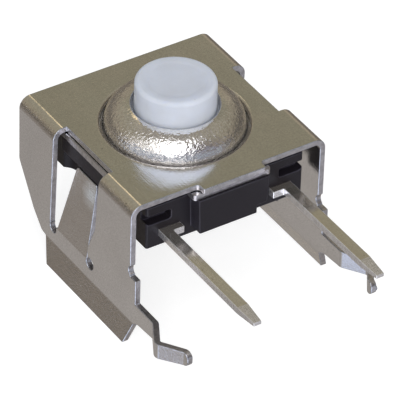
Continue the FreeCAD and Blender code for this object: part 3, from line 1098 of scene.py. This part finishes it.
@dataclass
class Surroundings:
    """White behind the object, and a dim olive room with a bright front for metal to show.

    Places in the room are parts of a unit direction. A span is where something starts and ends.
    """

    fill: Colour = (0.97, 0.98, 1.0)
    fill_strength: float = 0.42
    front: tuple[float, float, float] = (-0.556, -0.831, 0.0)
    side: tuple[float, float, float] = (0.831, -0.556, 0.0)
    front_span: Span = (0.1, 0.32)
    rear_stops: Stops = (
        (-1.0, (0.30, 0.28, 0.255)), (-0.75, (0.325, 0.3, 0.278)), (-0.61, (0.318, 0.297, 0.28)),
        (-0.43, (0.2, 0.176, 0.155)), (-0.22, (0.246, 0.21, 0.172)), (-0.12, (0.15, 0.13, 0.11)),
        (-0.06, (0.05, 0.045, 0.042)), (0.05, (0.055, 0.05, 0.044)), (0.13, (0.2, 0.172, 0.136)),
        (0.28, (0.3, 0.253, 0.19)), (0.5, (0.295, 0.258, 0.188)), (0.611, (0.238, 0.222, 0.158)),
        (0.8, (0.33, 0.3, 0.235)), (1.0, (0.26, 0.24, 0.22)))
    clutter_scale: float = 3.2
    clutter_span: Span = (0.36, 0.62)
    clutter_shades: Span = (0.9, 1.1)
    right_span: Span = (0.86, 0.95)
    right_dark: float = 0.6
    gold: Colour = (1.25, 1.0, 0.62)
    gold_across: Span = (0.25, 0.31)
    gold_rearward: Span = (0.64, 0.68)
    gold_fades: Span = (0.03, 0.02)
    low_stops: Stops = (
        (0.2, (0.43, 0.42, 0.43)), (0.38, (0.43, 0.42, 0.43)), (0.45, (0.62, 0.69, 0.88)),
        (0.49, (0.62, 0.69, 0.88)), (0.53, (0.32, 0.295, 0.285)), (0.61, (0.32, 0.295, 0.285)),
        (0.68, (2.0, 2.1, 2.4)))
    low_span: Span = (-0.35, -0.12)
    wall_stops: Stops = (
        (-0.2, (0.5, 0.56, 0.62)), (0.04, (0.42, 0.48, 0.5)), (0.1, (0.07, 0.08, 0.2)),
        (0.17, (0.08, 0.09, 0.24)), (0.22, (0.7, 0.72, 0.8)))
    wall_span: Span = (0.2, 0.28)
    glint_scale: float = 7.0
    glint_span: Span = (0.5, 0.58)
    unlit: Colour = (0.11, 0.095, 0.085)
    glint: Colour = (2.4, 2.35, 2.3)
    right_wall: Colour = (0.15, 0.13, 0.135)
    right_wall_span: Span = (0.0, 0.35)
    pane: Colour = (3.0, 3.05, 3.2)
    pane_side: Span = (-0.24, 0.25)
    pane_height: Span = (0.38, 0.92)
    pane_fades: Span = (0.05, 0.04)

    def build(self) -> None:
        """Draw the world."""
        world = bpy.data.worlds.new("surroundings")
        world.use_nodes = True
        bpy.context.scene.world = world
        pen = Graph(world.node_tree)
        leave = pen.add("ShaderNodeOutputWorld")
        way = pen.add("ShaderNodeTexCoord").outputs["Generated"]
        ahead = pen.add("ShaderNodeVectorMath", {0: way, 1: self.front}, operation="DOT_PRODUCT")
        ahead = ahead.outputs["Value"]
        room = pen.blend(pen.fit(ahead, *self.front_span), self._rear(pen, way), self._front(pen, way, ahead))
        mirrored = pen.add("ShaderNodeBackground", {"Color": room, "Strength": 1.0})
        shown = pen.add("ShaderNodeBackground", {"Color": (1, 1, 1, 1), "Strength": 1.0})
        fill = pen.add("ShaderNodeBackground", {"Color": opaque(self.fill), "Strength": self.fill_strength})
        path = pen.add("ShaderNodeLightPath").outputs
        sharp = pen.sums("MAXIMUM", path["Is Glossy Ray"], path["Is Transmission Ray"])
        lit = pen.add("ShaderNodeMixShader", {0: sharp, 1: fill.outputs[0], 2: mirrored.outputs[0]})
        last = pen.add("ShaderNodeMixShader", {
            0: path["Is Camera Ray"], 1: lit.outputs[0], 2: shown.outputs[0]})
        pen.link(last.outputs[0], leave.inputs[0])

    def _rear(self, pen: Graph, way: Socket) -> Socket:
        """Olive rear of the room, with a warm light strip and a dark right.

        Args:
            pen: The world's pen.
            way: The direction that is looked at.

        Returns:
            The colour's socket.
        """
        across, rearward, height = pen.add("ShaderNodeSeparateXYZ", {0: way}).outputs
        room = pen.ramp(height, self.rear_stops)
        wide, narrow = self.gold_fades
        strip = pen.sums("MULTIPLY", pen.band(across, self.gold_across, wide),
                         pen.band(rearward, self.gold_rearward, narrow))
        lined = pen.blend(strip, room, self.gold)
        clutter = pen.noise(way, self.clutter_scale, 3.0)
        shade = pen.sums("MULTIPLY", pen.fit(clutter, *self.clutter_span, *self.clutter_shades),
                         pen.fit(across, *self.right_span, 1.0, self.right_dark))
        return pen.blend(1.0, lined, shade, "MULTIPLY")

    def _front(self, pen: Graph, way: Socket, ahead: Socket) -> Socket:
        """Bright front of the room: its floor, the foot of its wall, glints and a window.

        Args:
            pen: The world's pen.
            way: The direction that is looked at.
            ahead: How far ahead that is.

        Returns:
            The colour's socket.
        """
        height = pen.add("ShaderNodeSeparateXYZ", {0: way}).outputs[2]
        sideways = pen.add("ShaderNodeVectorMath", {0: way, 1: self.side}, operation="DOT_PRODUCT")
        sideways = sideways.outputs["Value"]
        glints = pen.fit(pen.noise(way, self.glint_scale, 2.0), *self.glint_span)
        high = pen.blend(glints, self.unlit, self.glint)
        high = pen.blend(pen.fit(sideways, *self.right_wall_span), high, self.right_wall)
        side_fade, height_fade = self.pane_fades
        window = pen.sums("MULTIPLY", pen.band(sideways, self.pane_side, side_fade),
                          pen.band(height, self.pane_height, height_fade))
        high = pen.blend(window, high, self.pane)
        wall = pen.blend(pen.fit(height, *self.wall_span), pen.ramp(height, self.wall_stops), high)
        return pen.blend(pen.fit(height, *self.low_span), pen.ramp(ahead, self.low_stops), wall)


@dataclass
class Studio:
    """Floor, lamps and camera, in metres.

    Attributes:
        camera_back: Turn and rise of the camera as seen from the object, in degrees.
        shown_grey: Grey of the floor that the camera sees, which keeps the shadow.
        shown_lift: Light added to that, which makes it white.
    """

    camera_back: tuple[float, float] = (-33.8075, 37.6848)
    camera_roll: float = 1.8455
    camera_distance: float = 0.141488
    camera_lens: float = 404.5
    camera_sensor: float = 36.0
    camera_reach: Span = (0.005, 5.0)
    camera_aim: tuple[float, float, float] = (-0.0000847, 0.00068468, 0.00314631)
    lamp_aim: tuple[float, float, float] = (0.0, 0.001, 0.004)
    floor_size: float = 0.3
    floor_grey: float = 0.8
    shown_grey: float = 0.48
    shown_lift: float = 0.75

    def build(self) -> None:
        """Set up the whole studio."""
        self._camera()
        self._floor()
        for lamp in (Softbox("front", Vector((-0.42, -0.72, 0.55)), 0.38, (0.2, 0.1)),
                     Softbox("overhead", Vector((0.1, -0.2, 1.0)), 0.078, (0.12, 0.12))):
            lamp.build(Vector(self.lamp_aim))

    def _camera(self) -> None:
        """Place the camera at the photograph's angle."""
        turn, rise, roll = (math.radians(v) for v in (*self.camera_back, self.camera_roll))
        back = Vector((math.sin(turn) * math.cos(rise), -math.cos(turn) * math.cos(rise), math.sin(rise)))
        data = bpy.data.cameras.new("camera")
        data.lens = self.camera_lens
        data.sensor_width = self.camera_sensor
        data.clip_start, data.clip_end = self.camera_reach
        camera = bpy.data.objects.new("camera", data)
        bpy.context.scene.collection.objects.link(camera)
        camera.location = Vector(self.camera_aim) + back * self.camera_distance
        level = (-back).to_track_quat("-Z", "Y").to_matrix()
        right, up = level.col[0].copy(), level.col[1].copy()
        level.col[0] = right * math.cos(roll) + up * math.sin(roll)
        level.col[1] = up * math.cos(roll) - right * math.sin(roll)
        camera.rotation_mode = "QUATERNION"
        camera.rotation_quaternion = level.to_quaternion()
        bpy.context.scene.camera = camera

    def _floor(self) -> None:
        """Lay a pale floor that turns white for the camera and keeps the shadow."""
        shape = bmesh.new()
        bmesh.ops.create_grid(shape, x_segments=1, y_segments=1, size=self.floor_size)
        mesh = bpy.data.meshes.new("floor")
        shape.to_mesh(mesh)
        shape.free()
        floor = bpy.data.objects.new("floor", mesh)
        bpy.context.scene.collection.objects.link(floor)
        made = bpy.data.materials.new("pale_floor")
        made.use_nodes = True
        pen = Graph(made.node_tree)
        leave = pen.add("ShaderNodeOutputMaterial")
        matte, shaded = (pen.add("ShaderNodeBsdfDiffuse", {"Color": (grey, grey, grey, 1)})
                         for grey in (self.floor_grey, self.shown_grey))
        lift = pen.add("ShaderNodeEmission", {"Color": (1, 1, 1, 1), "Strength": self.shown_lift})
        shown = pen.add("ShaderNodeAddShader", {0: shaded.outputs[0], 1: lift.outputs[0]})
        path = pen.add("ShaderNodeLightPath")
        mixed = pen.add("ShaderNodeMixShader", {
            0: path.outputs["Is Camera Ray"], 1: matte.outputs[0], 2: shown.outputs[0]})
        pen.link(mixed.outputs[0], leave.inputs[0])
        mesh.materials.append(made)
        floor.visible_glossy = False


def main() -> None:
    """Build the pieces in order, then the studio and the surroundings."""
    logging.basicConfig(level=logging.INFO, format="%(name)s %(message)s")
    bpy.context.scene.view_settings.view_transform = "Standard"
    effects = SurfaceEffects()
    low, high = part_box("button")
    axis_at = Vector(((low.x + high.x) / 2, (low.y + high.y) / 2, 0)) / MM
    for kind in (Bracket, Cover, Base, Terminals, SnapDisc, Button):
        kind(effects, axis_at).build()
    Studio().build()
    Surroundings().build()


if __name__ == "__main__":
    main()
